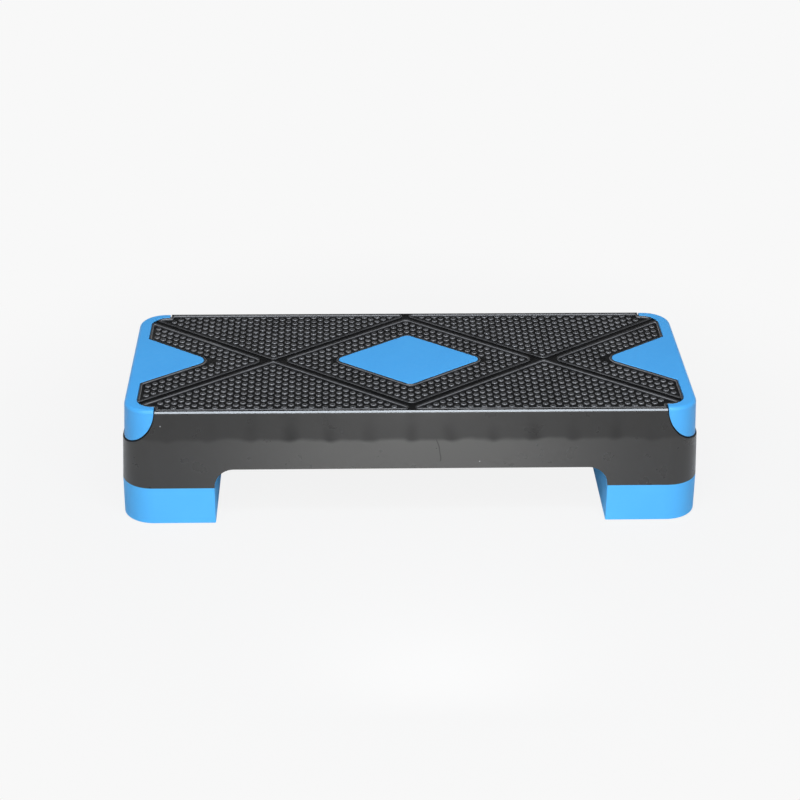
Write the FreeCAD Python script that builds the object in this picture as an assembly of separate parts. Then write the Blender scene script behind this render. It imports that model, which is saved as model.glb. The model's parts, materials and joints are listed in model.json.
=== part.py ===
import FreeCAD, Part
import math
import os

os.makedirs("parts", exist_ok=True)

# All lengths are in millimetres.
# X runs along the step, Y from front to back, Z up from the floor; the origin is the floor centre.

# Overall sizes at the high setting
step_length = 680.0
step_depth = 280.0
riser_height = 47.5
deck_height = 98.5
riser_length = 110.0
corner_radius = 38.0
skirt_draft_degrees = 3.0
riser_draft_degrees = 0.4

# Wall and plate thicknesses
skirt_wall = 3.0
plate_thickness = 3.0
riser_wall = 2.8
ledge_thickness = 3.0
rib_thickness = 2.0

# Clearances
part_gap = 0.3
plug_fit = 0.4
boss_fit = 0.2
screw_fit = 0.05
point_fit = 0.01
overrun = 20.0

# Heights of the tread, measured down from the top
land_drop = 1.0
tread_floor_drop = 1.8
seat_drop = 3.4
rim_width = 3.5
rim_bevel = 1.8

# Arch between the feet of the deck
arch_rise = 24.0
arch_radius = 23.0

# Tread layout: bands run from two crossings to points just past the corners of the field
band_aim_past = 8.9
band_meet_drop = 6.5
side_pad_inset = 0.9
side_pad_radius = 5.0
middle_pad_inset = 6.2
middle_pad_radius = 9.0
pad_rim_width = 2.0
pad_corner_radius = 1.6
sharp_corner_degrees = 5.0
field_radius = 20.0

# Main studs of the tread pads, on diagonal rows
stud_pitch = 23.85
stud_first = 14.0
stud_rows = 7
stud_base_radius = 2.9
stud_top_radius = 2.3
stud_height = 1.35
stud_root = 0.4
stud_clear = 1.9
stud_sides = 6
centre_stud_share = 0.741
centre_stud_steps = 5
end_stud_start = 41.9
end_stud_steps = 5

# Centre diamond
diamond_share = 0.548
diamond_radius = 8.0
inlay_edge_radius = 0.8

# End caps: plan sizes are measured from the top edge of the skirt
cap_strip = 16.4
cap_arm_width = 12.6
cap_arm_length = 39.0
cap_sweep_radius = 46.0
cap_recess = 1.6
cap_reveal = 1.4
cap_wall = 2.6
cap_edge_radius = 4.5
cap_inner_edge_radius = 0.8
arrow_share = 0.1162
arrow_radius = 12.0
arrow_root = 4.0

# Screws and the bosses they bite into
boss_radius = 3.2
boss_shy = 0.4
screw_radius = 1.5
screw_length = 5.6
screw_point = 1.4
screw_head_radius = 4.6
screw_head_height = 2.2
screw_head_round = 1.2

# Rib grid under the deck
cross_rib_share = 0.0691
long_rib_share = 0.168
rib_depth = 31.0
cross_rib_steps = 6
long_rib_steps = 3

# Plug of the riser, its inner ribs and edges
plug_height = 27.0
riser_rib_length_shares = (0.29, 0.71)
riser_rib_depth_shares = (0.0, 0.37, 0.74)
riser_edge_radius = 1.5

# Foot pads
foot_proud = 1.0
foot_pad_radius = 9.0
foot_pad_height = 5.0
foot_pad_chamfer = 0.8
foot_boss_wall = 2.4
foot_boss_roof = 3.0

# Worked-out heights and slopes
half_length = step_length / 2
half_depth = step_depth / 2
sharp_corner = math.sin(math.radians(sharp_corner_degrees))
skirt_slope = math.tan(math.radians(skirt_draft_degrees))
riser_slope = math.tan(math.radians(riser_draft_degrees))
shoulder_z = riser_height
top_z = riser_height + deck_height
land_z = top_z - land_drop
floor_z = top_z - tread_floor_drop
seat_z = top_z - seat_drop
plate_z = seat_z - plate_thickness
rib_z = plate_z - rib_depth
arch_z = shoulder_z + arch_rise
plug_z = shoulder_z + plug_height

# Worked-out plan sizes
top_draw_in = deck_height * skirt_slope + riser_height * riser_slope
top_half_length = half_length - top_draw_in
top_half_depth = half_depth - top_draw_in
arch_half_span = half_length - riser_length
crown_half_span = arch_half_span - arch_radius
border_y = top_half_depth - rim_width
field_half_length = top_half_length - cap_strip
field_half_depth = top_half_depth - cap_arm_width
crossing_x = (field_half_length + band_aim_past) / 2
band_slope = (border_y - band_meet_drop) / crossing_x
cap_arm_x = top_half_length - cap_arm_length
arrow_tip_x = field_half_length - step_length * arrow_share
diamond_half_length = crossing_x * diamond_share
diamond_half_depth = diamond_half_length * band_slope
cross_rib_pitch = step_length * cross_rib_share
long_rib_pitch = step_depth * long_rib_share
cap_seat_inset = cap_recess + cap_wall + part_gap
plug_inset = skirt_wall + plug_fit

# Screws stand in the middle of rib cells
inlay_screw_x = cross_rib_pitch / 2
inlay_screw_y = long_rib_pitch - long_rib_pitch / 4
arrow_screw_x = cross_rib_pitch * cross_rib_steps - cross_rib_pitch / 2
corner_screw_x = field_half_length + boss_radius + part_gap + part_gap
corner_screw_y = long_rib_pitch + long_rib_pitch
riser_rib_x = [arch_half_span + share * riser_length for share in riser_rib_length_shares]
riser_rib_y = [share * half_depth for share in riser_rib_depth_shares]
foot_pad_x = riser_rib_x
foot_pad_y = riser_rib_y[-1]


def point(x, y, z):
    return FreeCAD.Vector(x, y, z)


def rounded_rectangle(half_x, half_y, radius, z):
    # four straight sides joined by four quarter arcs
    near_x = half_x - radius
    near_y = half_y - radius
    slant = radius * math.sqrt(0.5)
    edges = []
    for sign_x, sign_y, sideways in ((1, 1, True), (-1, 1, False), (-1, -1, True), (1, -1, False)):
        on_side = point(sign_x * half_x, sign_y * near_y, z)
        on_end = point(sign_x * near_x, sign_y * half_y, z)
        middle = point(sign_x * (near_x + slant), sign_y * (near_y + slant), z)
        edges.append(Part.Arc(on_side, middle, on_end).toShape())
        if sideways:
            edges.append(Part.makeLine(on_end, point(-sign_x * near_x, sign_y * half_y, z)))
        else:
            edges.append(Part.makeLine(on_side, point(sign_x * half_x, -sign_y * near_y, z)))
    return Part.Wire(Part.__sortEdges__(edges))


def deck_outline(z, inset):
    # plan outline of the drafted skirt at a height, moved inward by the inset
    drawn_in = (z - shoulder_z) * skirt_slope + shoulder_z * riser_slope + inset
    return rounded_rectangle(half_length - drawn_in, half_depth - drawn_in, corner_radius - drawn_in, z)


def riser_outline(z, inset):
    drawn_in = z * riser_slope + inset
    return rounded_rectangle(half_length - drawn_in, half_depth - drawn_in, corner_radius - drawn_in, z)


def drafted_block(outline, inset, z_low, z_high):
    return Part.makeLoft([outline(z_low, inset), outline(z_high, inset)], True, True)


def box(x_low, x_high, y_low, y_high, z_low, z_high):
    return Part.makeBox(x_high - x_low, y_high - y_low, z_high - z_low, point(x_low, y_low, z_low))


def prism(wire, z_low, z_high):
    # the wire lies at height zero
    face = Part.Face(wire)
    face.translate(point(0, 0, z_low))
    return face.extrude(point(0, 0, z_high - z_low))


def rounded_polygon(corners, inset, radius):
    # convex corners in counterclockwise order; sides move inward by the inset, corners are rounded
    count = len(corners)
    normals = []
    for index in range(count):
        start = corners[index]
        finish = corners[(index + 1) % count]
        length = math.hypot(finish[0] - start[0], finish[1] - start[1])
        normals.append(point((start[1] - finish[1]) / length, (finish[0] - start[0]) / length, 0))
    centres = []
    for index in range(count):
        before = normals[index - 1]
        after = normals[index]
        miter = (before + after) * ((inset + radius) / (1 + before.dot(after)))
        centres.append(point(corners[index][0], corners[index][1], 0) + miter)
    edges = []
    for index in range(count):
        centre = centres[index]
        before = normals[index - 1]
        after = normals[index]
        middle = (before + after).normalize()
        ahead = centres[(index + 1) % count]
        edges.append(Part.Arc(centre - before * radius, centre - middle * radius,
                              centre - after * radius).toShape())
        edges.append(Part.makeLine(centre - after * radius, ahead - after * radius))
    return Part.Wire(edges)


def mirrored(shape):
    return shape.mirror(point(0, 0, 0), point(1, 0, 0))


def turned_over(shape):
    # front to back
    return shape.mirror(point(0, 0, 0), point(0, 1, 0))


def fused(shapes):
    return shapes[0].multiFuse(shapes[1:]).removeSplitter()


def field(grow, z_low, z_high):
    # the black field of the tread: a round-cornered middle, open to the front and back rims
    middle = prism(rounded_rectangle(field_half_length + grow, field_half_depth + grow,
                                     field_radius + grow, 0), z_low, z_high)
    wide = box(-cap_arm_x - grow, cap_arm_x + grow, -half_depth, half_depth, z_low, z_high)
    return middle.fuse(wide)


def arrow(grow, z_low, z_high):
    # the end cap's inward point, with its base outside the step
    base_x = half_length + overrun
    reach = (base_x - arrow_tip_x) * band_slope
    corners = ((arrow_tip_x, 0), (base_x, -reach), (base_x, reach))
    return prism(rounded_polygon(corners, -grow, arrow_radius + grow), z_low, z_high)


def diamond(grow, z_low, z_high):
    corners = ((diamond_half_length, 0), (0, diamond_half_depth),
               (-diamond_half_length, 0), (0, -diamond_half_depth))
    return prism(rounded_polygon(corners, -grow, diamond_radius + grow), z_low, z_high)


def centre_pad(grow, z_low, z_high):
    crossing_y = crossing_x * band_slope
    corners = ((crossing_x, 0), (0, crossing_y), (-crossing_x, 0), (0, -crossing_y))
    outside = prism(rounded_polygon(corners, middle_pad_inset - grow, middle_pad_radius + grow),
                    z_low, z_high)
    return outside.cut(diamond(-grow, z_low, z_high))


def right_end_pad(grow, z_low, z_high):
    # a chevron between the bands, the end cap's corners and its inward point
    base_x = half_length + overrun
    reach = (base_x - crossing_x) * band_slope
    corners = ((crossing_x, 0), (base_x, -reach), (base_x, reach))
    wedge = prism(rounded_polygon(corners, middle_pad_inset - grow, middle_pad_radius + grow),
                  z_low, z_high)
    return wedge.common(field(grow, z_low, z_high)).cut(arrow(-grow, z_low, z_high))


def back_right_pad(grow, z_low, z_high):
    # a triangle on the back rim, cut short by the end cap's arm
    reach = border_y / band_slope
    corners = ((crossing_x, 0), (crossing_x + reach, border_y), (crossing_x - reach, border_y))
    whole = prism(rounded_polygon(corners, side_pad_inset - grow, side_pad_radius + grow),
                  z_low, z_high)
    return whole.common(field(grow, z_low, z_high))


def smooth_corners(shape, radius):
    # rounds the upright edges where two sides meet at an angle
    sharp = []
    for edge in shape.Edges:
        bounds = edge.BoundBox
        if bounds.ZLength < bounds.XLength + bounds.YLength + part_gap:
            continue
        middle = bounds.Center
        normals = []
        for face in shape.ancestorsOfType(edge, Part.Face):
            normals.append(face.normalAt(*face.Surface.parameter(middle)))
        if normals[0].cross(normals[1]).Length > sharp_corner:
            sharp.append(edge)
    if not sharp:
        return shape
    return shape.makeFillet(radius, sharp)


def stud_ring(place, radius, z):
    # closed polygon round a stud's place
    corners = []
    for step in range(stud_sides + 1):
        turn = 2 * math.pi * step / stud_sides
        corners.append(point(place[0] + radius * math.cos(turn), place[1] + radius * math.sin(turn), z))
    return corners


def stud(place):
    # low stud, rooted in the pad and narrower at the top
    low = Part.makePolygon(stud_ring(place, stud_base_radius, floor_z - stud_root))
    high = Part.makePolygon(stud_ring(place, stud_top_radius, floor_z + stud_height))
    return Part.makeLoft([low, high], True, True)


def side_stud_places():
    # rows that widen from the crossing to the rim
    places = []
    for row in range(stud_rows):
        for step in range(-row, row + 1, 2):
            places.append((crossing_x + step * stud_pitch, stud_first + row * stud_pitch * band_slope))
    return places


def centre_stud_places():
    # one diamond of studs round the inlay
    pitch = crossing_x * centre_stud_share / centre_stud_steps
    places = []
    for step in range(-centre_stud_steps, centre_stud_steps + 1):
        rise = (centre_stud_steps - abs(step)) * pitch * band_slope
        places.append((step * pitch, rise))
        if rise > 0:
            places.append((step * pitch, -rise))
    return places


def end_stud_places():
    # one row along each arm of the chevron
    places = []
    for step in range(-end_stud_steps, end_stud_steps + 1):
        places.append((crossing_x + end_stud_start + abs(step) * stud_pitch, step * stud_pitch * band_slope))
    return places


def tread_pad(outline, stud_places):
    # a flat sheet with a raised rim all round, and the studs that fit inside the rim
    body = smooth_corners(outline(-part_gap, seat_z, top_z), pad_corner_radius)
    hollow = smooth_corners(outline(-part_gap - pad_rim_width, floor_z, top_z + overrun),
                            pad_corner_radius)
    pieces = [body.cut(hollow)]
    for place in stud_places:
        around = stud_ring(place, stud_base_radius + stud_clear, top_z)
        if all(hollow.isInside(corner, point_fit, True) for corner in around):
            pieces.append(stud(place))
    return fused(pieces)


def cap_sweep(radius):
    # round bar along Y whose quarter gives the cap its swept lower edge
    centre = point(cap_arm_x + cap_sweep_radius, -half_depth - overrun, top_z)
    return Part.makeCylinder(radius, step_depth + overrun + overrun, centre, point(0, 1, 0))


def edges_at(shape, z, wanted):
    # edges that lie wholly at one height and pass the test
    chosen = []
    for edge in shape.Edges:
        bounds = edge.BoundBox
        if abs(bounds.ZMin - z) < part_gap and abs(bounds.ZMax - z) < part_gap and wanted(edge):
            chosen.append(edge)
    return chosen


def beside_field(edge):
    # true for the cap's edges along the tread, not for those along its outer rounding
    middle = edge.BoundBox.Center
    reach = part_gap + part_gap
    return middle.x < field_half_length + reach and abs(middle.y) < field_half_depth + reach


def cap_screw_places():
    return ((arrow_screw_x, 0), (corner_screw_x, -corner_screw_y), (corner_screw_x, corner_screw_y))


def inlay_screw_places():
    places = []
    for sign_x in (-1, 1):
        for sign_y in (-1, 1):
            places.append((sign_x * inlay_screw_x, sign_y * inlay_screw_y))
    return places


def boss(place):
    # hollow stem that reaches through the deck plate and takes a screw from below
    low = plate_z + boss_shy
    return Part.makeCylinder(boss_radius, seat_z - low + boss_shy, point(place[0], place[1], low))


def boss_bore(place):
    low = plate_z - overrun
    depth = plate_z + screw_length + screw_fit - low
    return Part.makeCylinder(screw_radius + screw_fit, depth, point(place[0], place[1], low))


def screw(place):
    # pan head below the plate, shank with a short point above
    low = plate_z - screw_head_height
    profile = [point(0, 0, low),
               point(screw_head_radius - screw_head_round, 0, low),
               point(screw_head_radius, 0, low + screw_head_round),
               point(screw_head_radius, 0, plate_z),
               point(screw_radius, 0, plate_z),
               point(screw_radius, 0, plate_z + screw_length - screw_point),
               point(0, 0, plate_z + screw_length),
               point(0, 0, low)]
    turned = Part.Face(Part.makePolygon(profile)).revolve(point(0, 0, 0), point(0, 0, 1), 360)
    turned.translate(point(place[0], place[1], 0))
    return turned


def deck_hollow():
    # open underside, drawn in behind the cap seats
    hollow = drafted_block(deck_outline, skirt_wall, shoulder_z - overrun, plate_z)
    behind = drafted_block(deck_outline, cap_seat_inset + skirt_wall, shoulder_z - overrun, plate_z)
    backing = cap_sweep(cap_sweep_radius + skirt_wall).cut(behind)
    return hollow.cut(backing).cut(mirrored(backing))


def make_rib_grid():
    # stiffening ribs under the top plate, trimmed to the hollow
    bars = []
    for step in range(-cross_rib_steps, cross_rib_steps + 1):
        x = step * cross_rib_pitch
        bars.append(box(x - rib_thickness / 2, x + rib_thickness / 2,
                        -half_depth, half_depth, rib_z, plate_z))
    for step in range(long_rib_steps):
        y = step * long_rib_pitch + long_rib_pitch / 2
        for sign in (-1, 1):
            bars.append(box(-half_length, half_length, sign * y - rib_thickness / 2,
                            sign * y + rib_thickness / 2, rib_z, plate_z))
    return fused(bars).common(deck_hollow())


def make_deck():
    # outer form with a bevelled top edge
    outer = drafted_block(deck_outline, 0, shoulder_z, land_z)
    outer = outer.makeChamfer(rim_bevel, edges_at(outer, land_z, lambda edge: True))
    # seats for the end caps
    seat_block = drafted_block(deck_outline, cap_seat_inset, shoulder_z - overrun, seat_z)
    sweep = cap_sweep(cap_sweep_radius)
    cap_room = sweep.cut(seat_block).cut(field(0, seat_z - overrun, top_z + overrun))
    cap_room = cap_room.fuse(arrow(0, seat_z, top_z + overrun))
    outer = outer.cut(cap_room).cut(mirrored(cap_room))
    # pockets for the tread pads and the diamond
    side = smooth_corners(back_right_pad(0, seat_z, top_z), pad_corner_radius)
    end = smooth_corners(right_end_pad(0, seat_z, top_z), pad_corner_radius)
    front = turned_over(side)
    pockets = [side, front, end, mirrored(side), mirrored(front), mirrored(end),
               centre_pad(0, seat_z, top_z), diamond(0, seat_z, top_z)]
    for pocket in pockets:
        outer = outer.cut(pocket)
    shell = outer.cut(deck_hollow())
    # arch between the feet, through the front and back skirts
    corners = ((-arch_half_span, -arch_z), (arch_half_span, -arch_z),
               (arch_half_span, arch_z), (-arch_half_span, arch_z))
    mouth = Part.Face(rounded_polygon(corners, 0, arch_radius))
    mouth.rotate(point(0, 0, 0), point(1, 0, 0), 90)
    mouth.translate(point(0, half_depth + overrun, 0))
    shell = shell.cut(mouth.extrude(point(0, -step_depth - overrun - overrun, 0)))
    # holes for the bosses of the caps and the diamond
    for place in cap_screw_places():
        for sign in (-1, 1):
            shell = shell.cut(Part.makeCylinder(boss_radius + boss_fit, overrun,
                                                point(sign * place[0], place[1], seat_z - overrun)))
    for place in inlay_screw_places():
        shell = shell.cut(Part.makeCylinder(boss_radius + boss_fit, overrun,
                                            point(place[0], place[1], seat_z - overrun)))
    return shell


def make_right_cap():
    # shell with a soft top edge, trimmed to the swept edge and to the tread field
    low = top_z - cap_sweep_radius - overrun
    outside = drafted_block(deck_outline, cap_recess, low, top_z)
    outside = outside.makeFillet(cap_edge_radius, edges_at(outside, top_z, lambda edge: True))
    inside = drafted_block(deck_outline, cap_recess + cap_wall, low - overrun, seat_z)
    skin = outside.cut(inside).common(cap_sweep(cap_sweep_radius - cap_reveal))
    skin = skin.cut(field(part_gap, low - overrun, top_z + overrun))
    # inward point
    tongue = arrow(-part_gap, seat_z, top_z)
    limit = box(0, field_half_length + arrow_root, -half_depth, half_depth, seat_z, top_z)
    plate = fused([skin, tongue.common(limit)])
    plate = plate.makeFillet(cap_inner_edge_radius, edges_at(plate, top_z, beside_field))
    pieces = [plate]
    for place in cap_screw_places():
        pieces.append(boss(place))
    cap = fused(pieces)
    for place in cap_screw_places():
        cap = cap.cut(boss_bore(place))
    return cap


def make_inlay():
    plate = diamond(-part_gap, seat_z, top_z)
    plate = plate.makeFillet(inlay_edge_radius, edges_at(plate, top_z, lambda edge: True))
    pieces = [plate]
    for place in inlay_screw_places():
        pieces.append(boss(place))
    inlay = fused(pieces)
    for place in inlay_screw_places():
        inlay = inlay.cut(boss_bore(place))
    return inlay


def foot_places():
    places = []
    for x in foot_pad_x:
        for sign in (-1, 1):
            places.append((x, sign * foot_pad_y))
    return places


def make_right_riser():
    # lower body and the plug that goes up inside the skirt
    inner_x = arch_half_span
    keep = box(inner_x, half_length + overrun, -step_depth, step_depth, -overrun, top_z)
    body = drafted_block(riser_outline, 0, foot_proud, shoulder_z).common(keep)
    upright = []
    for edge in body.Edges:
        bounds = edge.BoundBox
        if abs(bounds.XMin - inner_x) < part_gap and abs(bounds.XMax - inner_x) < part_gap:
            if bounds.ZLength > riser_height / 2:
                upright.append(edge)
    body = body.makeFillet(riser_edge_radius, upright)
    plug = drafted_block(deck_outline, plug_inset, shoulder_z - ledge_thickness, plug_z).common(keep)
    # hollow, open to the floor
    room = box(inner_x + riser_wall, half_length + overrun, -step_depth, step_depth, -overrun, top_z)
    lower = drafted_block(riser_outline, riser_wall, -overrun, shoulder_z - ledge_thickness)
    upper = drafted_block(deck_outline, plug_inset + riser_wall, -overrun, plug_z - ledge_thickness)
    hollow = lower.fuse(upper).common(room)
    shell = fused([body, plug]).cut(hollow)
    # ribs from the roof of the plug down to the floor line
    bars = []
    for x in riser_rib_x:
        bars.append(box(x - rib_thickness / 2, x + rib_thickness / 2,
                        -half_depth, half_depth, foot_proud, top_z))
    for y in riser_rib_y:
        for sign in (-1, 1):
            bars.append(box(inner_x, half_length, sign * y - rib_thickness / 2,
                            sign * y + rib_thickness / 2, foot_proud, top_z))
    boss_top = foot_pad_height + foot_boss_roof
    boss_around = foot_pad_radius + boss_fit + foot_boss_wall
    for place in foot_places():
        bars.append(Part.makeCylinder(boss_around, boss_top - foot_proud,
                                      point(place[0], place[1], foot_proud)))
    riser = fused([shell, fused(bars).common(hollow)])
    # blind sockets for the foot pads
    for place in foot_places():
        riser = riser.cut(Part.makeCylinder(foot_pad_radius + boss_fit, foot_pad_height + overrun,
                                            point(place[0], place[1], -overrun)))
    return riser


def foot_pad(place):
    pad = Part.makeCylinder(foot_pad_radius, foot_pad_height, point(place[0], place[1], 0))
    return pad.makeChamfer(foot_pad_chamfer, edges_at(pad, 0, lambda edge: True))


nodes = {}

# the deck moulding, with the plain walls over its two arches parted from the shell
deck = make_deck()
over_arch = box(-crown_half_span, crown_half_span, 0, step_depth, arch_z - overrun, plate_z)
back_wall = deck.common(over_arch)
nodes["deck_shell"] = deck.cut(over_arch).cut(turned_over(over_arch))
nodes["deck_skirt_back"] = back_wall
nodes["deck_skirt_front"] = turned_over(back_wall)
nodes["deck_rib_grid"] = make_rib_grid()

# tread pads
back_right = tread_pad(back_right_pad, side_stud_places())
right_end = tread_pad(right_end_pad, end_stud_places())
nodes["tread_pad_center"] = tread_pad(centre_pad, centre_stud_places())
nodes["tread_pad_right_end"] = right_end
nodes["tread_pad_left_end"] = mirrored(right_end)
nodes["tread_pad_back_right"] = back_right
nodes["tread_pad_back_left"] = mirrored(back_right)
nodes["tread_pad_front_right"] = turned_over(back_right)
nodes["tread_pad_front_left"] = mirrored(turned_over(back_right))

# blue trim and its screws
right_cap = make_right_cap()
nodes["end_cap_right"] = right_cap
nodes["end_cap_left"] = mirrored(right_cap)
nodes["diamond_inlay"] = make_inlay()
right_screws = Part.Compound([screw(place) for place in cap_screw_places()])
nodes["end_cap_screws_right"] = right_screws
nodes["end_cap_screws_left"] = mirrored(right_screws)
nodes["inlay_screws"] = Part.Compound([screw(place) for place in inlay_screw_places()])

# risers and foot pads
right_riser = make_right_riser()
nodes["riser_right"] = right_riser
nodes["riser_left"] = mirrored(right_riser)
for place in foot_places():
    depth_name = "front" if place[1] < 0 else "back"
    length_name = "inner" if place[0] == foot_pad_x[0] else "outer"
    pad = foot_pad(place)
    nodes["foot_pad_right_" + depth_name + "_" + length_name] = pad
    nodes["foot_pad_left_" + depth_name + "_" + length_name] = mirrored(pad)

for name, shape in nodes.items():
    shape.exportStep("parts/" + name + ".step")
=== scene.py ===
import json
import math

import bmesh
import bpy
import numpy as np
from mathutils import Matrix, Vector


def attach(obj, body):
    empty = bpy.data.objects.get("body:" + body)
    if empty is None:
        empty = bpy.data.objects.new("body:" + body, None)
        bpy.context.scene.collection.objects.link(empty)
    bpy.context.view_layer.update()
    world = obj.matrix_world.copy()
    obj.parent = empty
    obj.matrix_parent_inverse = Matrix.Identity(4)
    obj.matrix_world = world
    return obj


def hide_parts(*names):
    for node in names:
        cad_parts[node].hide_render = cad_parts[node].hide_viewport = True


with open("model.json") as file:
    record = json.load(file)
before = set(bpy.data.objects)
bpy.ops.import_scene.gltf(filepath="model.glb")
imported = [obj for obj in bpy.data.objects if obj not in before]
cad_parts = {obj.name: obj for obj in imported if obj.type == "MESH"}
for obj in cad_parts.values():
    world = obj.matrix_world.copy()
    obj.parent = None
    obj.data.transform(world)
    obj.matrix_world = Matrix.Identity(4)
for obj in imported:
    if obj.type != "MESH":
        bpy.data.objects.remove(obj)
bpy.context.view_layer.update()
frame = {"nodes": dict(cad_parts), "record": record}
nodes = frame["nodes"]
mm = 0.001
print("frame loaded:", len(nodes), "nodes")


# small helpers

def linear(hexColour):
    # sRGB hex to linear light
    parts = [int(hexColour[i:i + 2], 16) / 255 for i in (1, 3, 5)]
    return tuple(c / 12.92 if c <= 0.04045 else ((c + 0.055) / 1.055) ** 2.4 for c in parts) + (1.0,)


def perMetre(sizeMm):
    # pattern scale for a feature of that size
    return 1000.0 / sizeMm


def addNode(tree, kind, settings, inputs):
    # settings are node properties; an input is a plain value or another node's output
    node = tree.nodes.new(kind)
    for name, value in settings.items():
        setattr(node, name, value)
    for name, value in inputs.items():
        if isinstance(value, bpy.types.NodeSocket):
            tree.links.new(value, node.inputs[name])
        else:
            node.inputs[name].default_value = value
    return node


def newMaterial(name):
    material = bpy.data.materials.new(name)
    material.use_nodes = True
    material.node_tree.nodes.clear()
    return material, material.node_tree


def meshPiece(name, points, faces, body, material):
    # points is an array of corners in metres, faces are lists of corner numbers
    mesh = bpy.data.meshes.new(name)
    mesh.from_pydata(points.tolist(), [], faces)
    mesh.polygons.foreach_set("use_smooth", np.ones(len(mesh.polygons), dtype=bool))
    mesh.validate()
    piece = bpy.data.objects.new(name, mesh)
    bpy.context.scene.collection.objects.link(piece)
    mesh.materials.append(material)
    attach(piece, body)


def turnedRings(profile, sides):
    # a profile of (radius, height) rows carried round the Z axis: grid of height step by angle
    profile = np.array(profile, float)
    angle = np.arange(sides) * 2 * np.pi / sides
    radius = profile[:, :1]
    return np.stack([radius * np.cos(angle), radius * np.sin(angle),
                     np.repeat(profile[:, 1:], sides, axis=1)], axis=-1)


def ringFaces(rings, sides):
    # quads between neighbouring rings, rings numbered from the bottom up
    low = np.arange(sides)
    high = np.roll(low, -1)
    step = np.arange(rings - 1)[:, None] * sides
    quads = np.stack([step + low, step + high, step + high + sides, step + low + sides], axis=-1)
    return quads.reshape(-1, 4)


# camera at the photograph's angle; angles in degrees, lens and sensor in millimetres

cameraView = {
    "lens": 88.178,
    "sensor": 36.0,
    "azimuth": -2.071,
    "elevation": 27.541,
    "distance": 2.4045,
    "target": (0.0, 0.0, 0.075),
    "roll": 0.597,
    "shift": (-0.01010, 0.01348),
    "farthest": 60.0,
}


def placeCamera(view):
    turn = math.radians(view["azimuth"])
    rise = math.radians(view["elevation"])
    back = Vector((math.sin(turn) * math.cos(rise), -math.cos(turn) * math.cos(rise), math.sin(rise)))
    lens = bpy.data.cameras.new("photoCamera")
    lens.lens = view["lens"]
    lens.sensor_width = view["sensor"]
    lens.shift_x, lens.shift_y = view["shift"]
    lens.clip_end = view["farthest"]
    camera = bpy.data.objects.new("photoCamera", lens)
    bpy.context.scene.collection.objects.link(camera)
    place = Matrix.Translation(Vector(view["target"]) + back * view["distance"])
    aim = back.to_track_quat("Z", "Y").to_matrix().to_4x4()
    camera.matrix_world = place @ aim @ Matrix.Rotation(math.radians(view["roll"]), 4, "Z")
    bpy.context.scene.camera = camera


placeCamera(cameraView)
print("camera placed")


# light and floor, in metres and watts

studio = {
    "worldLight": 0.22,
    "backdrop": "#f8f8f8",
    "floorBounce": "#bcbcbc",
    "floorPaint": "#d8d8d8",
    "floorHalf": 14.0,
    "floorZ": -0.0002,
    "shadowShare": 0.07,
    "glossShare": 0.95,
    "shadowReach": (0.36, 0.75),
    "ceilingStart": (0.08, 0.34),
    "ceilingGloss": 0.02,
}
softboxes = {
    "topBox": {"at": (0.0, -0.9, 1.75), "aim": (0, 0, 0.1), "size": (1.7, 0.24), "power": 22.0,
               "colour": "#eaf4ff", "mirrored": True},
    "highBox": {"at": (0.0, -1.5, 1.42), "aim": (0, 0, 0.1), "size": (3.0, 1.1), "power": 20.0,
                "colour": "#ffffff", "mirrored": True},
    "frontBox": {"at": (0.0, -1.95, 0.72), "aim": (0, 0, 0.1), "size": (3.0, 0.85), "power": 8.0,
                 "colour": "#ffffff", "mirrored": True},
    "backBox": {"at": (0.0, 2.3, 0.30), "aim": (0, 0, 0.1), "size": (2.6, 0.4), "power": 6.0,
                "colour": "#ffffff", "mirrored": False},
    "skirtBox": {"at": (0.02, -0.52, 0.12), "aim": (0.02, 0, 0.10), "size": (0.16, 0.08), "power": 0.42,
                 "colour": "#ffffff", "mirrored": True},
}


def looking(tree, path):
    # 1 for the rays that look: camera, glossy and transmission; 0 for those that light the object
    seen = addNode(tree, "ShaderNodeMath", {"operation": "MAXIMUM"},
                   {0: path.outputs["Is Camera Ray"], 1: path.outputs["Is Glossy Ray"]})
    seen = addNode(tree, "ShaderNodeMath", {"operation": "MAXIMUM"},
                   {0: seen.outputs[0], 1: path.outputs["Is Transmission Ray"]})
    return seen.outputs[0]


def setWorld():
    world = bpy.data.worlds.new("paleStudio")
    bpy.context.scene.world = world
    world.use_nodes = True
    tree = world.node_tree
    tree.nodes.clear()
    path = addNode(tree, "ShaderNodeLightPath", {}, {})
    light = addNode(tree, "ShaderNodeBackground", {},
                    {"Color": (1, 1, 1, 1), "Strength": studio["worldLight"]})
    # the pale backdrop ends above the horizon, and gloss sees the dimmer ceiling over it
    coords = addNode(tree, "ShaderNodeTexCoord", {}, {})
    up = addNode(tree, "ShaderNodeSeparateXYZ", {}, {0: coords.outputs["Generated"]})
    ceiling = addNode(tree, "ShaderNodeMapRange", {"interpolation_type": "SMOOTHSTEP"},
                      {"Value": up.outputs["Z"], "From Min": studio["ceilingStart"][0],
                       "From Max": studio["ceilingStart"][1], "To Min": 1.0,
                       "To Max": studio["ceilingGloss"]})
    ceiling = addNode(tree, "ShaderNodeMath", {"operation": "MAXIMUM"},
                      {0: ceiling.outputs[0], 1: path.outputs["Is Camera Ray"]})
    shown = addNode(tree, "ShaderNodeBackground", {},
                    {"Color": linear(studio["backdrop"]), "Strength": ceiling.outputs[0]})
    both = addNode(tree, "ShaderNodeMixShader", {},
                   {0: looking(tree, path), 1: light.outputs[0], 2: shown.outputs[0]})
    addNode(tree, "ShaderNodeOutputWorld", {}, {"Surface": both.outputs[0]})


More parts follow.
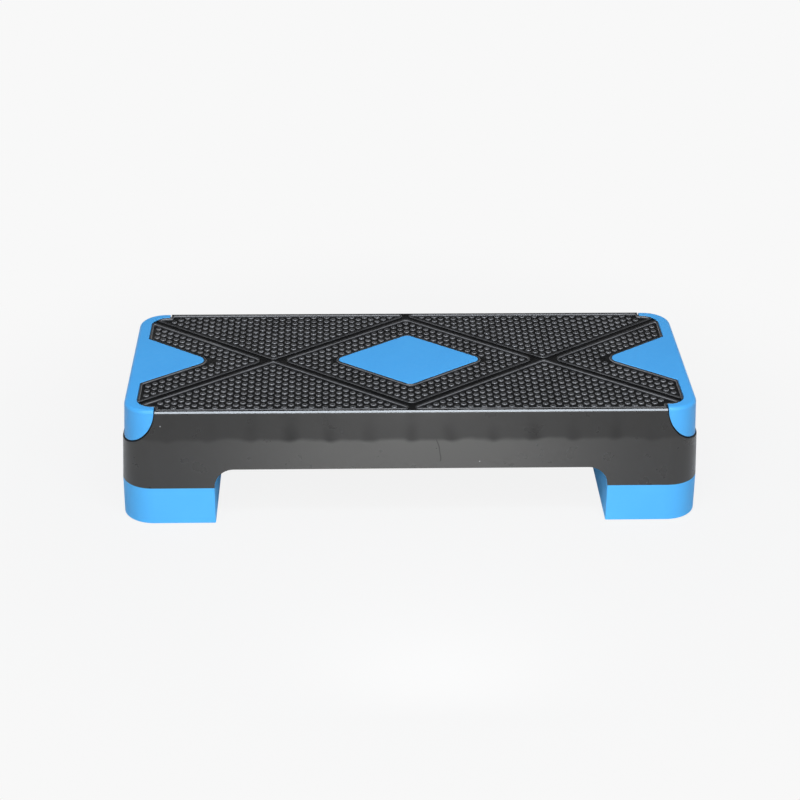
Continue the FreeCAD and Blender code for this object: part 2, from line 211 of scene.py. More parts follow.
def paintedStudioFloor():
    # matt floor paint: even and pale, takes a soft shadow that fades out away from the object
    material, tree = newMaterial("paintedStudioFloor")
    coords = addNode(tree, "ShaderNodeTexCoord", {}, {})
    reach = addNode(tree, "ShaderNodeVectorMath", {"operation": "LENGTH"}, {0: coords.outputs["Object"]})
    near, far = studio["shadowReach"]
    path = addNode(tree, "ShaderNodeLightPath", {}, {})
    # the camera sees a faint shadow, gloss sees more of the real one
    shade = addNode(tree, "ShaderNodeMapRange", {},
                    {"Value": path.outputs["Is Camera Ray"], "To Min": studio["glossShare"],
                     "To Max": studio["shadowShare"]})
    share = addNode(tree, "ShaderNodeMapRange", {"interpolation_type": "SMOOTHSTEP"},
                    {"Value": reach.outputs["Value"], "From Min": near, "From Max": far,
                     "To Min": shade.outputs[0], "To Max": 0.0})
    tone = addNode(tree, "ShaderNodeMix", {"data_type": "RGBA"},
                   {"Factor": path.outputs["Is Camera Ray"], 6: linear(studio["backdrop"]),
                    7: linear(studio["floorPaint"])})
    paint = addNode(tree, "ShaderNodeBsdfDiffuse", {}, {"Color": tone.outputs[2]})
    glow = addNode(tree, "ShaderNodeEmission", {}, {"Color": linear(studio["backdrop"]), "Strength": 1.0})
    seenFloor = addNode(tree, "ShaderNodeMixShader", {},
                        {0: share.outputs[0], 1: glow.outputs[0], 2: paint.outputs[0]})
    bounce = addNode(tree, "ShaderNodeBsdfDiffuse", {}, {"Color": linear(studio["floorBounce"])})
    both = addNode(tree, "ShaderNodeMixShader", {},
                   {0: looking(tree, path), 1: bounce.outputs[0], 2: seenFloor.outputs[0]})
    # only its upper side is there, so the object can be looked at from below
    sheet = addNode(tree, "ShaderNodeNewGeometry", {}, {})
    nothing = addNode(tree, "ShaderNodeBsdfTransparent", {}, {})
    both = addNode(tree, "ShaderNodeMixShader", {},
                   {0: sheet.outputs["Backfacing"], 1: both.outputs[0], 2: nothing.outputs[0]})
    addNode(tree, "ShaderNodeOutputMaterial", {}, {"Surface": both.outputs[0]})
    return material


def layFloor():
    half, z = studio["floorHalf"], studio["floorZ"]
    corners = [(-half, -half, z), (half, -half, z), (half, half, z), (-half, half, z)]
    mesh = bpy.data.meshes.new("studioFloor")
    mesh.from_pydata(corners, [], [(0, 1, 2, 3)])
    mesh.materials.append(paintedStudioFloor())
    floor = bpy.data.objects.new("studioFloor", mesh)
    bpy.context.scene.collection.objects.link(floor)


def hangSoftbox(name, values):
    lamp = bpy.data.lights.new(name, "AREA")
    lamp.shape = "RECTANGLE"
    lamp.size, lamp.size_y = values["size"]
    lamp.energy = values["power"]
    lamp.color = linear(values["colour"])[:3]
    box = bpy.data.objects.new(name, lamp)
    bpy.context.scene.collection.objects.link(box)
    box.visible_glossy = values["mirrored"]
    away = Vector(values["at"]) - Vector(values["aim"])
    box.matrix_world = Matrix.Translation(values["at"]) @ away.to_track_quat("Z", "Y").to_matrix().to_4x4()


bpy.context.scene.view_settings.view_transform = "Standard"
setWorld()
layFloor()
for boxName, boxValues in softboxes.items():
    hangSoftbox(boxName, boxValues)
print("studio set")


# materials; lengths and heights in millimetres, heights from the floor

polypropyleneIor = 1.49
rubberIor = 1.52
noiseLow, noiseHigh = 0.3, 0.7  # most of a noise texture lies between these

deckFinish = {
    "haze": "#302f2e",
    # the paler middle tone, its reach and its share in the band are a painted sheen on the skirt
    "paintedMiddleSheen": "#4c4b49",
    # the sunk colour is painted shade over the real sink marks
    "sunkShade": "#21201f",
    # the lands' colour is painted shade, darker than the same plastic on the skirt
    "paintedLandShade": "#0c0c0d",
    "dust": "#b4b4b6",
    "paintedSheenReach": (80.0, 300.0),
    "paintedSheenInBand": 0.25,
    "roughness": (0.26, 0.36),
    "smearSize": 22.0,
    "edgeRoughness": 0.10,
    "edgeZ": (142.9, 143.2),
    "landZ": (144.85, 144.97),
    "plainSpecular": 0.5,
    "sunkSpecular": 0.32,
    "swaySize": 38.0,
    "sway": 8.0,
    "ribPitch": 46.99,
    "markHalfWidth": 13.0,
    "bandFootZ": (105.6, 112.6),
    "bandTopZ": (144.0, 141.0),
    "footDip": 2.4,
    "footSway": 0.55,
    "patchSize": 90.0,
    "patchSpan": (0.4, 0.66),
    "patchDepth": (0.1, 1.0),
    "markFadeZ": (136.0, 112.0),
    "markFade": 0.3,
    "markDark": 0.42,
    "bandDark": 0.5,
    "flowLineX": 30.0,
    "flowLineHalf": 1.1,
    "flowLineDark": 0.7,
    "flowLineTopZ": (112.0, 107.0),
    "flowLineEndZ": (79.0, 82.0),
    "dustApart": 16.0,
    "dustEdge": (0.07, 0.04),
    "dustCover": 0.9,
    "dustRare": 0.84,
    "dustChannel": 0,
    "peelSize": 2.4,
    "peelHeight": 0.3,
    "peelStrength": 0.015,
}


def sunkBand(tree, coords, place, values):
    # how sunk the skirt is at a point: a band along the ribs behind it, deeper at each rib, and the flow
    # line under it;
    # the sinks are real, and the darkness drawn from them is painted shade; the flow line is a real mark
    wander = addNode(tree, "ShaderNodeTexNoise", {},
                     {"Vector": coords, "Scale": perMetre(values["swaySize"]), "Detail": 2.0})
    sway = addNode(tree, "ShaderNodeMath", {"operation": "MULTIPLY_ADD"},
                   {0: wander.outputs["Fac"], 1: 2 * values["sway"] * mm, 2: -values["sway"] * mm})
    # marks: distance along X to the nearest rib, softened
    alongX = addNode(tree, "ShaderNodeMath", {"operation": "ADD"}, {0: place["X"], 1: sway.outputs[0]})
    fromRib = addNode(tree, "ShaderNodeMath", {"operation": "PINGPONG"},
                      {0: alongX.outputs[0], 1: values["ribPitch"] * mm / 2})
    mark = addNode(tree, "ShaderNodeMapRange", {"interpolation_type": "SMOOTHSTEP"},
                   {"Value": fromRib.outputs[0], "From Min": values["markHalfWidth"] * mm, "From Max": 0.0})
    # the band starts at the ribs' feet, a little lower at each mark, and ends under the top edge
    heightZ = addNode(tree, "ShaderNodeMath", {"operation": "MULTIPLY_ADD"},
                      {0: mark.outputs[0], 1: values["footDip"] * mm, 2: place["Z"]})
    heightZ = addNode(tree, "ShaderNodeMath", {"operation": "MULTIPLY_ADD"},
                      {0: sway.outputs[0], 1: values["footSway"], 2: heightZ.outputs[0]})
    aboveFoot = addNode(tree, "ShaderNodeMapRange", {"interpolation_type": "SMOOTHSTEP"},
                        {"Value": heightZ.outputs[0], "From Min": values["bandFootZ"][0] * mm,
                         "From Max": values["bandFootZ"][1] * mm})
    belowTop = addNode(tree, "ShaderNodeMapRange", {"interpolation_type": "SMOOTHSTEP"},
                       {"Value": place["Z"], "From Min": values["bandTopZ"][0] * mm,
                        "From Max": values["bandTopZ"][1] * mm})
    band = addNode(tree, "ShaderNodeMath", {"operation": "MULTIPLY"},
                   {0: aboveFoot.outputs[0], 1: belowTop.outputs[0]})
    # no two marks are alike, and all are deepest at the feet
    patchy = addNode(tree, "ShaderNodeTexNoise", {},
                     {"Vector": coords, "Scale": perMetre(values["patchSize"]), "Detail": 1.0})
    strong = addNode(tree, "ShaderNodeMapRange", {},
                     {"Value": patchy.outputs["Fac"], "From Min": values["patchSpan"][0],
                      "From Max": values["patchSpan"][1], "To Min": values["patchDepth"][0],
                      "To Max": values["patchDepth"][1]})
    mark = addNode(tree, "ShaderNodeMath", {"operation": "MULTIPLY"},
                   {0: mark.outputs[0], 1: strong.outputs[0]})
    gather = addNode(tree, "ShaderNodeMapRange", {"interpolation_type": "SMOOTHSTEP"},
                     {"Value": place["Z"], "From Min": values["markFadeZ"][0] * mm,
                      "From Max": values["markFadeZ"][1] * mm, "To Min": values["markFade"], "To Max": 1.0})
    mark = addNode(tree, "ShaderNodeMath", {"operation": "MULTIPLY"},
                   {0: mark.outputs[0], 1: gather.outputs[0]})
    mark = addNode(tree, "ShaderNodeMath", {"operation": "MULTIPLY_ADD"},
                   {0: mark.outputs[0], 1: values["markDark"], 2: values["bandDark"]})
    sunk = addNode(tree, "ShaderNodeMath", {"operation": "MULTIPLY", "use_clamp": True},
                   {0: mark.outputs[0], 1: band.outputs[0]})
    # flow line: a thin dark thread that wanders down from the band
    offLine = addNode(tree, "ShaderNodeMath", {"operation": "SUBTRACT"},
                      {0: alongX.outputs[0], 1: values["flowLineX"] * mm})
    offLine = addNode(tree, "ShaderNodeMath", {"operation": "ABSOLUTE"}, {0: offLine.outputs[0]})
    thread = addNode(tree, "ShaderNodeMapRange", {"interpolation_type": "SMOOTHSTEP"},
                     {"Value": offLine.outputs[0], "From Min": values["flowLineHalf"] * mm,
                      "From Max": 0.0, "To Max": values["flowLineDark"]})
    for ends in (values["flowLineTopZ"], values["flowLineEndZ"]):
        fade = addNode(tree, "ShaderNodeMapRange", {"interpolation_type": "SMOOTHSTEP"},
                       {"Value": place["Z"], "From Min": ends[0] * mm, "From Max": ends[1] * mm})
        thread = addNode(tree, "ShaderNodeMath", {"operation": "MULTIPLY"},
                         {0: thread.outputs[0], 1: fade.outputs[0]})
    sunk = addNode(tree, "ShaderNodeMath", {"operation": "MAXIMUM"},
                   {0: sunk.outputs[0], 1: thread.outputs[0]})
    return sunk.outputs[0], band.outputs[0]


def dustSpecks(tree, coords, values):
    # a pale dot in a few cells of a loose grid, drawn just wide enough to show
    cells = addNode(tree, "ShaderNodeTexVoronoi", {},
                    {"Vector": coords, "Scale": perMetre(values["dustApart"])})
    dot = addNode(tree, "ShaderNodeMapRange", {},
                  {"Value": cells.outputs["Distance"], "From Min": values["dustEdge"][0],
                   "From Max": values["dustEdge"][1], "To Max": values["dustCover"]})
    pick = addNode(tree, "ShaderNodeSeparateColor", {}, {0: cells.outputs["Color"]})
    rare = addNode(tree, "ShaderNodeMath", {"operation": "GREATER_THAN"},
                   {0: pick.outputs[values["dustChannel"]], 1: values["dustRare"]})
    speck = addNode(tree, "ShaderNodeMath", {"operation": "MULTIPLY", "use_clamp": True},
                    {0: dot.outputs[0], 1: rare.outputs[0]})
    return speck.outputs[0]


def glossBlackPolypropylene(values):
    # injection-moulded black PP from a polished tool: a hazy gloss, with faint sink marks where the ribs
    # behind the skirt cool last, drawn darker as painted shade, a flow line and a few specks of dust, a
    # painted sheen in the middle of the skirt and painted shade on the lands on top
    material, tree = newMaterial("glossBlackPolypropylene")
    coords = addNode(tree, "ShaderNodeTexCoord", {}, {}).outputs["Object"]
    place = addNode(tree, "ShaderNodeSeparateXYZ", {}, {0: coords}).outputs
    sunk, band = sunkBand(tree, coords, place, values)
    # painted sheen: the middle of the skirt is painted a little paler, standing in for the light it reflects
    # there, but hardly so in the band
    fromMiddle = addNode(tree, "ShaderNodeMath", {"operation": "ABSOLUTE"}, {0: place["X"]})
    paintedSheenMask = addNode(tree, "ShaderNodeMapRange", {"interpolation_type": "SMOOTHSTEP"},
                       {"Value": fromMiddle.outputs[0], "From Min": values["paintedSheenReach"][1] * mm,
                        "From Max": values["paintedSheenReach"][0] * mm})
    belowBand = addNode(tree, "ShaderNodeMapRange", {},
                        {"Value": band, "To Min": 1.0, "To Max": values["paintedSheenInBand"]})
    paintedSheenMask = addNode(tree, "ShaderNodeMath", {"operation": "MULTIPLY"},
                       {0: paintedSheenMask.outputs[0], 1: belowBand.outputs[0]})
    film = addNode(tree, "ShaderNodeMix", {"data_type": "RGBA"},
                   {"Factor": paintedSheenMask.outputs[0], 6: linear(values["haze"]), 7: linear(values["paintedMiddleSheen"])})
    # painted shade: the sink band and marks are mixed towards the darker tone
    tint = addNode(tree, "ShaderNodeMix", {"data_type": "RGBA"},
                   {"Factor": sunk, 6: film.outputs[2], 7: linear(values["sunkShade"])})
    # painted shade: the lands on top are painted deeper black than the skirt of the same plastic
    onTop = addNode(tree, "ShaderNodeMapRange", {},
                    {"Value": place["Z"], "From Min": values["landZ"][0] * mm,
                     "From Max": values["landZ"][1] * mm})
    tint = addNode(tree, "ShaderNodeMix", {"data_type": "RGBA"},
                   {"Factor": onTop.outputs[0], 6: tint.outputs[2], 7: linear(values["paintedLandShade"])})
    colour = addNode(tree, "ShaderNodeMix", {"data_type": "RGBA"},
                     {"Factor": dustSpecks(tree, coords, values), 6: tint.outputs[2],
                      7: linear(values["dust"])})
    smear = addNode(tree, "ShaderNodeTexNoise", {},
                    {"Vector": coords, "Scale": perMetre(values["smearSize"]), "Detail": 4.0})
    rough = addNode(tree, "ShaderNodeMapRange", {},
                    {"Value": smear.outputs["Fac"], "From Min": noiseLow, "From Max": noiseHigh,
                     "To Min": values["roughness"][0], "To Max": values["roughness"][1]})
    # the bevelled top edge comes out of the tool brighter than the walls
    onEdge = addNode(tree, "ShaderNodeMapRange", {},
                     {"Value": place["Z"], "From Min": values["edgeZ"][0] * mm,
                      "From Max": values["edgeZ"][1] * mm})
    onEdge = addNode(tree, "ShaderNodeMath", {"operation": "SUBTRACT", "use_clamp": True},
                     {0: onEdge.outputs[0], 1: onTop.outputs[0]})
    rough = addNode(tree, "ShaderNodeMix", {},
                    {"Factor": onEdge.outputs[0], 2: rough.outputs[0], 3: values["edgeRoughness"]})
    # sunk plastic is duller
    dull = addNode(tree, "ShaderNodeMapRange", {},
                   {"Value": sunk, "To Min": values["plainSpecular"], "To Max": values["sunkSpecular"]})
    peel = addNode(tree, "ShaderNodeTexNoise", {},
                   {"Vector": coords, "Scale": perMetre(values["peelSize"]), "Detail": 2.0})
    bump = addNode(tree, "ShaderNodeBump", {},
                   {"Height": peel.outputs["Fac"], "Strength": values["peelStrength"],
                    "Distance": values["peelHeight"] * mm})
    plastic = addNode(tree, "ShaderNodeBsdfPrincipled", {},
                      {"Base Color": colour.outputs[2], "Roughness": rough.outputs[0],
                       "IOR": polypropyleneIor, "Specular IOR Level": dull.outputs[0],
                       "Normal": bump.outputs[0]})
    addNode(tree, "ShaderNodeOutputMaterial", {}, {"Surface": plastic.outputs[0]})
    return material


treadFinish = {
    "black": "#080809",
    # the pale grey is partly random wear and partly a painted highlight for the shoulders
    "wearAndSheen": "#848487",
    "dust": "#6e6e70",
    # heights where the painted shoulder highlight starts, and how little of it reaches the floor
    "sheenZ": (144.22, 144.6),
    "floorSheen": 0.02,
    # heights where the painted highlight fades off the tops, and how much of it is left there
    "topFadeZ": (145.1, 145.55),
    "topFade": 0.14,
    "rubSize": 30.0,
    "rubbing": (0.6, 1.0),
    "roughness": (0.25, 0.34),
    "film": 0.6,
    "filmRoughness": 0.22,
    "filmIor": 1.45,
    "dustApart": 13.0,
    "dustEdge": (0.06, 0.02),
    "dustCover": 0.8,
    "dustRare": 0.7,
    "dustChannel": 1,
    "grain": 0.9,
    "grainHeight": 0.2,
    "grainStrength": 0.12,
}


def satinTreadRubber(values):
    # moulded thermoplastic rubber: deep black floor, a pale tone on the shoulders of studs and rims that is
    # random wear and a painted highlight, fading off the tops, an oily film and fine grain
    material, tree = newMaterial("satinTreadRubber")
    coords = addNode(tree, "ShaderNodeTexCoord", {}, {}).outputs["Object"]
    place = addNode(tree, "ShaderNodeSeparateXYZ", {}, {0: coords}).outputs
    rubbed = addNode(tree, "ShaderNodeTexNoise", {},
                     {"Vector": coords, "Scale": perMetre(values["rubSize"]), "Detail": 4.0})
    # painted highlight: the shoulders of studs and rims are drawn paler, fading off the floor and the tops
    high = addNode(tree, "ShaderNodeMapRange", {"interpolation_type": "SMOOTHSTEP"},
                   {"Value": place["Z"], "From Min": values["sheenZ"][0] * mm,
                    "From Max": values["sheenZ"][1] * mm, "To Min": values["floorSheen"]})
    rubbing = addNode(tree, "ShaderNodeMapRange", {},
                      {"Value": rubbed.outputs["Fac"], "From Min": noiseLow, "From Max": noiseHigh,
                       "To Min": values["rubbing"][0], "To Max": values["rubbing"][1]})
    fadeOnTops = addNode(tree, "ShaderNodeMapRange", {"interpolation_type": "SMOOTHSTEP"},
                       {"Value": place["Z"], "From Min": values["topFadeZ"][0] * mm,
                        "From Max": values["topFadeZ"][1] * mm, "To Min": 1.0, "To Max": values["topFade"]})
    shoulder = addNode(tree, "ShaderNodeMath", {"operation": "MULTIPLY"},
                       {0: high.outputs[0], 1: fadeOnTops.outputs[0]})
    wearAndSheen = addNode(tree, "ShaderNodeMath", {"operation": "MULTIPLY", "use_clamp": True},
                   {0: rubbing.outputs[0], 1: shoulder.outputs[0]})
    tint = addNode(tree, "ShaderNodeMix", {"data_type": "RGBA"},
                   {"Factor": wearAndSheen.outputs[0], 6: linear(values["black"]), 7: linear(values["wearAndSheen"])})
    colour = addNode(tree, "ShaderNodeMix", {"data_type": "RGBA"},
                     {"Factor": dustSpecks(tree, coords, values), 6: tint.outputs[2],
                      7: linear(values["dust"])})
    rough = addNode(tree, "ShaderNodeMapRange", {},
                    {"Value": rubbed.outputs["Fac"], "From Min": noiseLow, "From Max": noiseHigh,
                     "To Min": values["roughness"][0], "To Max": values["roughness"][1]})
    # grain drawn coarser than the real one, so that it shows
    grain = addNode(tree, "ShaderNodeTexNoise", {},
                    {"Vector": coords, "Scale": perMetre(values["grain"]), "Detail": 2.0})
    bump = addNode(tree, "ShaderNodeBump", {},
                   {"Height": grain.outputs["Fac"], "Strength": values["grainStrength"],
                    "Distance": values["grainHeight"] * mm})
    rubber = addNode(tree, "ShaderNodeBsdfPrincipled", {},
                     {"Base Color": colour.outputs[2], "Roughness": rough.outputs[0], "IOR": rubberIor,
                      "Coat Weight": values["film"], "Coat Roughness": values["filmRoughness"],
                      "Coat IOR": values["filmIor"], "Normal": bump.outputs[0]})
    addNode(tree, "ShaderNodeOutputMaterial", {}, {"Surface": rubber.outputs[0]})
    return material


trimFinish = {
    "name": "satinBlueTrimPolypropylene",
    "light": "#50b1f4",
    "dark": "#46a7ee",
    "roughness": (0.40, 0.50),
    "cloud": 70.0,
    "scuff": 9.0,
    "scuffTwist": 0.8,
    "grain": 1.1,
    "grainHeight": 0.2,
    "grainStrength": 0.08,
}
riserFinish = {
    "name": "satinBlueRiserPolypropylene",
    "light": "#54b8fa",
    "dark": "#4cb0f5",
    "roughness": (0.48, 0.60),
    "cloud": 55.0,
    "scuff": 9.0,
    "scuffTwist": 0.8,
    "grain": 1.4,
    "grainHeight": 0.2,
    "grainStrength": 0.08,
}


def satinBluePolypropylene(values):
    # pigmented PP from a lightly textured tool: even sky blue with soft clouds, fine grain, satin light
    material, tree = newMaterial(values["name"])
    coords = addNode(tree, "ShaderNodeTexCoord", {}, {}).outputs["Object"]
    cloud = addNode(tree, "ShaderNodeTexNoise", {},
                    {"Vector": coords, "Scale": perMetre(values["cloud"]), "Detail": 3.0})
    colour = addNode(tree, "ShaderNodeMix", {"data_type": "RGBA"},
                     {"Factor": cloud.outputs["Fac"], 6: linear(values["light"]), 7: linear(values["dark"])})
    scuff = addNode(tree, "ShaderNodeTexNoise", {},
                    {"Vector": coords, "Scale": perMetre(values["scuff"]), "Detail": 5.0,
                     "Distortion": values["scuffTwist"]})
    rough = addNode(tree, "ShaderNodeMapRange", {},
                    {"Value": scuff.outputs["Fac"], "From Min": noiseLow, "From Max": noiseHigh,
                     "To Min": values["roughness"][0], "To Max": values["roughness"][1]})
    # grain drawn coarser than the real one, so that it shows
    grain = addNode(tree, "ShaderNodeTexNoise", {},
                    {"Vector": coords, "Scale": perMetre(values["grain"]), "Detail": 1.0})
    bump = addNode(tree, "ShaderNodeBump", {},
                   {"Height": grain.outputs["Fac"], "Strength": values["grainStrength"],
                    "Distance": values["grainHeight"] * mm})
    plastic = addNode(tree, "ShaderNodeBsdfPrincipled", {},
                      {"Base Color": colour.outputs[2], "Roughness": rough.outputs[0],
                       "IOR": polypropyleneIor, "Normal": bump.outputs[0]})
    addNode(tree, "ShaderNodeOutputMaterial", {}, {"Surface": plastic.outputs[0]})
    return material


screwFinish = {
    "zinc": "#b9bbbd",
    "dull": "#8d8f90",
    "roughness": (0.25, 0.42),
    "spangle": 2.2,
    "spangleHeight": 0.1,
    "spangleStrength": 0.05,
}


def zincPlatedSteel(values):
    # bright zinc over a formed steel head: cool grey, slightly clouded
    material, tree = newMaterial("zincPlatedSteel")
    coords = addNode(tree, "ShaderNodeTexCoord", {}, {}).outputs["Object"]
    cloud = addNode(tree, "ShaderNodeTexNoise", {},
                    {"Vector": coords, "Scale": perMetre(values["spangle"]), "Detail": 3.0})
    colour = addNode(tree, "ShaderNodeMix", {"data_type": "RGBA"},
                     {"Factor": cloud.outputs["Fac"], 6: linear(values["zinc"]), 7: linear(values["dull"])})
    rough = addNode(tree, "ShaderNodeMapRange", {},
                    {"Value": cloud.outputs["Fac"], "From Min": noiseLow, "From Max": noiseHigh,
                     "To Min": values["roughness"][0], "To Max": values["roughness"][1]})
    bump = addNode(tree, "ShaderNodeBump", {},
                   {"Height": cloud.outputs["Fac"], "Strength": values["spangleStrength"],
                    "Distance": values["spangleHeight"] * mm})
    metal = addNode(tree, "ShaderNodeBsdfPrincipled", {},
                    {"Base Color": colour.outputs[2], "Roughness": rough.outputs[0], "Metallic": 1.0,
                     "Normal": bump.outputs[0]})
    addNode(tree, "ShaderNodeOutputMaterial", {}, {"Surface": metal.outputs[0]})
    return material


footFinish = {
    "black": "#1d1d1d",
    "scuffed": "#3a3938",
    "roughness": (0.62, 0.8),
    "soleZ": 1.5,
    "rubSize": 4.0,
    "grain": 0.8,
    "grainHeight": 0.2,
    "grainStrength": 0.2,
}


def mattFootRubber(values):
    # pressed rubber foot: dull black, greyed by the floor where it stands
    material, tree = newMaterial("mattFootRubber")
    coords = addNode(tree, "ShaderNodeTexCoord", {}, {}).outputs["Object"]
    place = addNode(tree, "ShaderNodeSeparateXYZ", {}, {0: coords}).outputs
    low = addNode(tree, "ShaderNodeMapRange", {},
                  {"Value": place["Z"], "From Min": values["soleZ"] * mm, "From Max": 0.0})
    rub = addNode(tree, "ShaderNodeTexNoise", {},
                  {"Vector": coords, "Scale": perMetre(values["rubSize"]), "Detail": 4.0})
    wear = addNode(tree, "ShaderNodeMath", {"operation": "MULTIPLY", "use_clamp": True},
                   {0: rub.outputs["Fac"], 1: low.outputs[0]})
    colour = addNode(tree, "ShaderNodeMix", {"data_type": "RGBA"},
                     {"Factor": wear.outputs[0], 6: linear(values["black"]), 7: linear(values["scuffed"])})
    rough = addNode(tree, "ShaderNodeMapRange", {},
                    {"Value": rub.outputs["Fac"], "From Min": noiseLow, "From Max": noiseHigh,
                     "To Min": values["roughness"][0], "To Max": values["roughness"][1]})
    # grain drawn coarser than the real one, so that it shows
    grain = addNode(tree, "ShaderNodeTexNoise", {},
                    {"Vector": coords, "Scale": perMetre(values["grain"]), "Detail": 2.0})
    bump = addNode(tree, "ShaderNodeBump", {},
                   {"Height": grain.outputs["Fac"], "Strength": values["grainStrength"],
                    "Distance": values["grainHeight"] * mm})
    rubber = addNode(tree, "ShaderNodeBsdfPrincipled", {},
                     {"Base Color": colour.outputs[2], "Roughness": rough.outputs[0], "IOR": rubberIor,
                      "Normal": bump.outputs[0]})
    addNode(tree, "ShaderNodeOutputMaterial", {}, {"Surface": rubber.outputs[0]})
    return material


finishes = {
    "deck_plastic": glossBlackPolypropylene(deckFinish),
    "tread_rubber": satinTreadRubber(treadFinish),
    "trim_plastic": satinBluePolypropylene(trimFinish),
    "riser_plastic": satinBluePolypropylene(riserFinish),
    "screw_steel": zincPlatedSteel(screwFinish),
    "foot_rubber": mattFootRubber(footFinish),
}
for part in frame["record"]["subparts"]:
    nodes[part["node"]].data.materials.clear()
    nodes[part["node"]].data.materials.append(finishes[part["material_slot"]])
print("materials on", len(nodes), "nodes")


# tread pads: rims rolled over as rubber leaves the mould; lengths in millimetres

padRims = {
    "roll": 0.9,
    "steps": 4,
    "rolledDegrees": 75.0,
    "crispDegrees": 30.0,
    "flatDegrees": 0.5,
    "studBand": (144.3, 145.9),
    "mergeWithin": 0.004,
}


def rolledPad(nodeName, values):
    # merged copy of the pad with flat faces joined, its sharp edges rolled by a bevel
    shape = bmesh.new()
    shape.from_mesh(nodes[nodeName].data)
    bmesh.ops.remove_doubles(shape, verts=shape.verts, dist=values["mergeWithin"] * mm)
    # the coarse studs lie inside the turned ones, so what stands between floor and rim goes
    low, high = values["studBand"]
    coarse = [v for v in shape.verts if low * mm < v.co.z < high * mm]
    bmesh.ops.delete(shape, geom=coarse, context="VERTS")
    bmesh.ops.holes_fill(shape, edges=[e for e in shape.edges if e.is_boundary])
    bmesh.ops.dissolve_limit(shape, angle_limit=math.radians(values["flatDegrees"]),
                             verts=shape.verts, edges=shape.edges)
    for face in shape.faces:
        face.smooth = True
    mesh = bpy.data.meshes.new(nodeName + "_rolled")
    shape.to_mesh(mesh)
    shape.free()
    mesh.set_sharp_from_angle(angle=math.radians(values["crispDegrees"]))
    mesh.materials.append(finishes["tread_rubber"])
    pad = bpy.data.objects.new(nodeName + "_rolled", mesh)
    bpy.context.scene.collection.objects.link(pad)
    roll = pad.modifiers.new("rolledEdges", "BEVEL")
    roll.width = values["roll"] * mm
    roll.segments = values["steps"]
    roll.limit_method = "ANGLE"
    roll.angle_limit = math.radians(values["rolledDegrees"])
    roll.use_clamp_overlap = False
    roll.harden_normals = True
    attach(pad, "deck")
    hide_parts(nodeName)


padNames = sorted(name for name in nodes if name.startswith("tread_pad"))
for padName in padNames:
    rolledPad(padName, padRims)
print("pads rolled:", len(padNames))


# studs on the pads; lengths in millimetres

treadLayout = {
    "crossingX": 163.5,
    "fieldHalf": (318.1, 121.9),
    "fieldRadius": 20.0,
    "armX": 295.5,
    "borderY": 130.0,
}
stud = {
    "sides": 10,
    "profile": ((3.4, -0.3), (3.3, 0.2), (2.95, 0.8), (2.3, 1.28), (1.3, 1.58)),
    "crown": 1.7,
    "floorZ": 144.2,
    "clear": 6.0,
}
studRows = {
    "most": 24,
    "sideStep": (7.95, 6.05),
    "sideFirstY": 14.0,
    "centreStep": (8.076, 6.147),
    "centreRows": (13, 15, 17),
    "endStep": (7.95, 6.05),
    "endFirstX": 189.5,
    "endRows": (0, 2, 4),
}


def insideField(places, layout, clear):
    # inside the round-cornered field, or short of the cap's arm
    x, y = np.abs(places[:, 0]), np.abs(places[:, 1])
    halfX, halfY = layout["fieldHalf"]
    radius = layout["fieldRadius"]
    overX = np.maximum(x - (halfX - radius), 0)
    overY = np.maximum(y - (halfY - radius), 0)
    inMiddle = np.hypot(overX, overY) < radius - clear
    short = (x < layout["armX"] - clear) & (y < layout["borderY"] - clear)
    return inMiddle | short


def sidePlaces(layout, rows):
    # rows that widen from the crossing to the back rim: i within j of the middle, i + j even
    stepX, stepY = rows["sideStep"]
    most = rows["most"]
    i, j = np.meshgrid(np.arange(-most, most + 1), np.arange(0, most + 1))
    keep = (np.abs(i) <= j) & ((i + j) % 2 == 0)
    places = np.stack([layout["crossingX"] + i[keep] * stepX, rows["sideFirstY"] + j[keep] * stepY], axis=-1)
    places = places[places[:, 1] < layout["borderY"] - stud["clear"]]
    return places[insideField(places, layout, stud["clear"])]


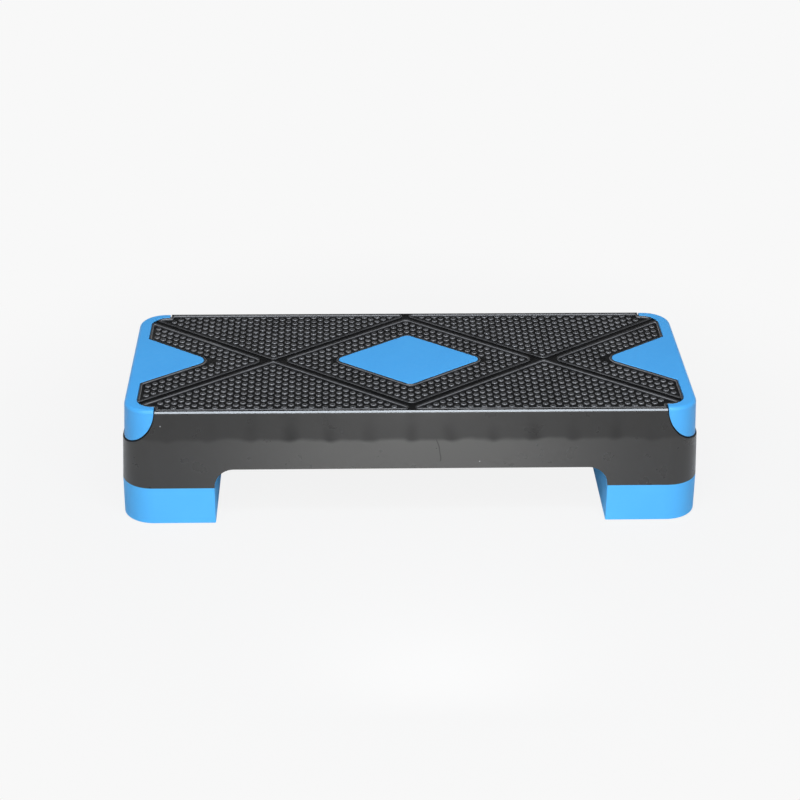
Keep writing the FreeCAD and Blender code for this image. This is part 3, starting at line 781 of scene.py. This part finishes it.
def centrePlaces(rows):
    # three diamonds of studs round the inlay: i plus j, signs dropped, is the same along each
    stepX, stepY = rows["centreStep"]
    span = np.arange(-max(rows["centreRows"]), max(rows["centreRows"]) + 1)
    i, j = np.meshgrid(span, span)
    keep = np.isin(np.abs(i) + np.abs(j), rows["centreRows"])
    return np.stack([i[keep] * stepX, j[keep] * stepY], axis=-1)


def endPlaces(layout, rows):
    # three rows along each arm of the chevron: i less j, its sign dropped, is the same along each
    stepX, stepY = rows["endStep"]
    most = rows["most"]
    i, j = np.meshgrid(np.arange(0, most), np.arange(-most, most + 1))
    keep = np.isin(i - np.abs(j), rows["endRows"])
    places = np.stack([rows["endFirstX"] + i[keep] * stepX, j[keep] * stepY], axis=-1)
    # the chevron has no part beside the cap's arm
    return places[insideField(places, dict(layout, armX=0), stud["clear"])]


def studField(name, places):
    # one domed stud, turned from its profile, set down at every place
    sides = stud["sides"]
    one = turnedRings(stud["profile"], sides).reshape(-1, 3)
    one = np.vstack([one, [[0, 0, stud["crown"]]]])
    rings = len(stud["profile"])
    walls = ringFaces(rings, sides)
    rim = np.arange(sides) + (rings - 1) * sides
    top = np.stack([rim, np.roll(rim, -1), np.full(sides, rings * sides)], axis=-1)
    bottom = np.arange(sides)[::-1]
    points = one[None] + np.column_stack([places, np.full(len(places), stud["floorZ"])])[:, None]
    shift = (np.arange(len(places)) * len(one))[:, None, None]
    faces = (walls[None] + shift).reshape(-1, 4).tolist()
    faces += (top[None] + shift).reshape(-1, 3).tolist()
    faces += (bottom[None] + shift[:, :, 0]).tolist()
    meshPiece(name, points.reshape(-1, 3) * mm, faces, "deck", finishes["tread_rubber"])


# the four sides and the two ends are mirror images
side = sidePlaces(treadLayout, studRows)
end = endPlaces(treadLayout, studRows)
studFields = {
    "studs_center": centrePlaces(studRows),
    "studs_right_end": end,
    "studs_left_end": end * (-1, 1),
    "studs_back_right": side,
    "studs_back_left": side * (-1, 1),
    "studs_front_right": side * (1, -1),
    "studs_front_left": side * (-1, -1),
}
for fieldName, fieldPlaces in studFields.items():
    studField(fieldName, fieldPlaces)
print("studs set:", sum(len(places) for places in studFields.values()))
